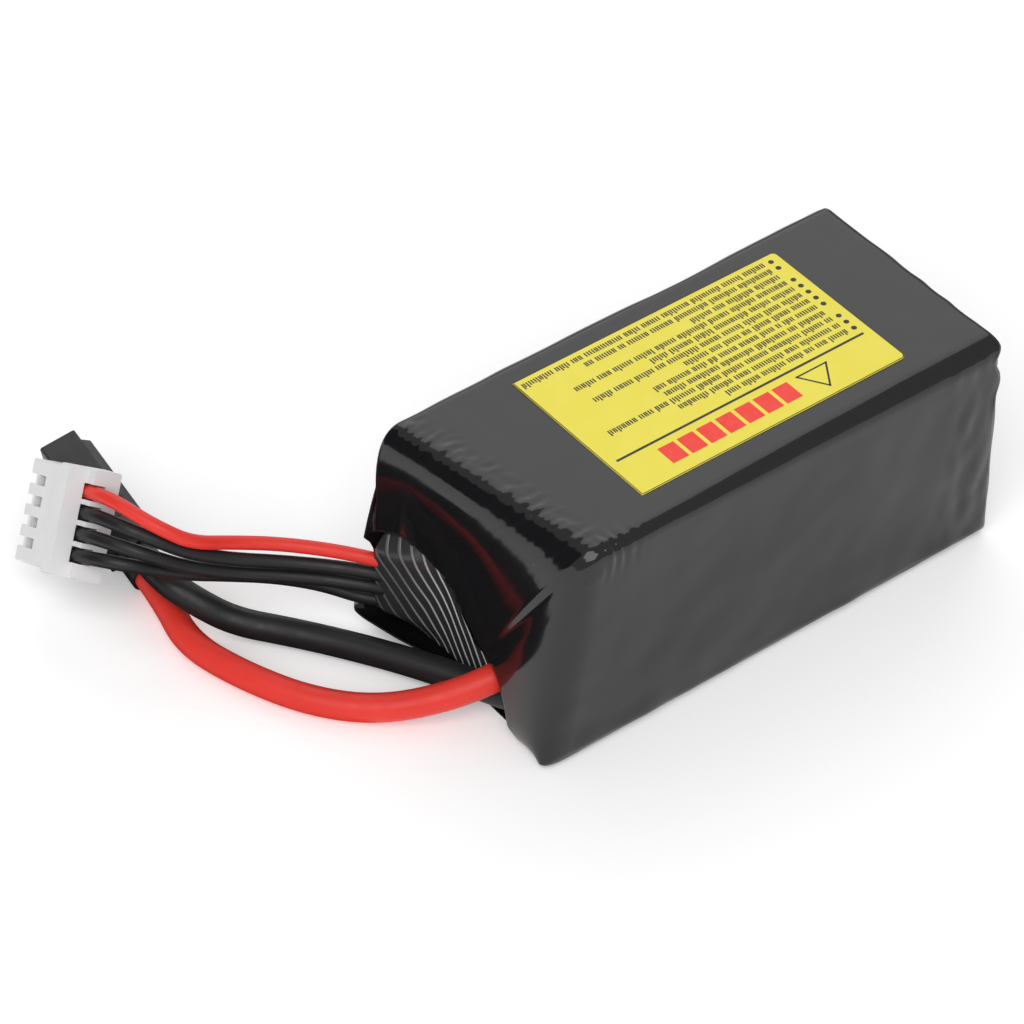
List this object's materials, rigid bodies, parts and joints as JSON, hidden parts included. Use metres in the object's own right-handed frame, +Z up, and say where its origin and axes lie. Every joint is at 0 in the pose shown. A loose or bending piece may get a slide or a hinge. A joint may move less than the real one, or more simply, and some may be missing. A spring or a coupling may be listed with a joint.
{
  "type": "lipo battery pack",
  "caption": "Soft-cased rechargeable battery pack in black shrink film, with thick discharge leads to a two-pole plug and thin balance wires to a white plug.",
  "frame": {"origin": "middle of the underside of the shrink film, its loose lip included", "axes": "+X along the pack from the wire end to the far end, +Z up with the label on top, leads turn towards +Y"},
  "size_m": [0.0999, 0.0728, 0.0307],
  "materials": {
    "shrink_film": "glossy heat-shrink film",
    "label_film": "satin printed sticker",
    "pouch_foil": "satin laminated foil",
    "aluminium_tab": "bare metal",
    "nickel_tab": "plated metal",
    "foam_tape": "soft foam",
    "band_tape": "smooth tape",
    "strapping_tape": "clear tape with glass threads",
    "fibre_pad": "dense foam",
    "circuit_board": "solder mask",
    "solder": "bright solder",
    "copper": "bare copper",
    "black_nylon": "moulded nylon",
    "gold_plate": "gold plated",
    "tinned_copper": "tinned strands",
    "black_shrink": "satin heat-shrink tube",
    "white_nylon": "moulded nylon",
    "tinned_terminal": "tinned metal",
    "red_silicone": "soft silicone",
    "black_silicone": "soft silicone"
  },
  "bodies": {
    "root": {"shrink_sleeve": "shrink_film", "top_label": "label_film", "cell_lower": "pouch_foil", "cell_middle": "pouch_foil", "cell_upper": "pouch_foil", "positive_tabs": "aluminium_tab", "negative_tabs": "nickel_tab", "gap_pad_lower": "foam_tape", "gap_pad_upper": "foam_tape", "cell_band": "band_tape", "filament_strap": "strapping_tape", "wire_end_pad": "fibre_pad", "far_end_pad": "fibre_pad", "balance_board": "circuit_board", "solder_joints": "solder", "negative_terminal": "copper", "main_plug_housing": "black_nylon", "main_contact_positive": "gold_plate", "main_contact_negative": "gold_plate", "lead_cores": "tinned_copper", "lead_shrinks": "black_shrink", "balance_plug_housing": "white_nylon", "balance_plug_terminals": "tinned_terminal", "main_lead_red": "red_silicone", "main_lead_black": "black_silicone", "balance_wire_red": "red_silicone", "balance_wire_black_1": "black_silicone", "balance_wire_black_2": "black_silicone", "balance_wire_black_3": "black_silicone"}
  },
  "joints": []
}
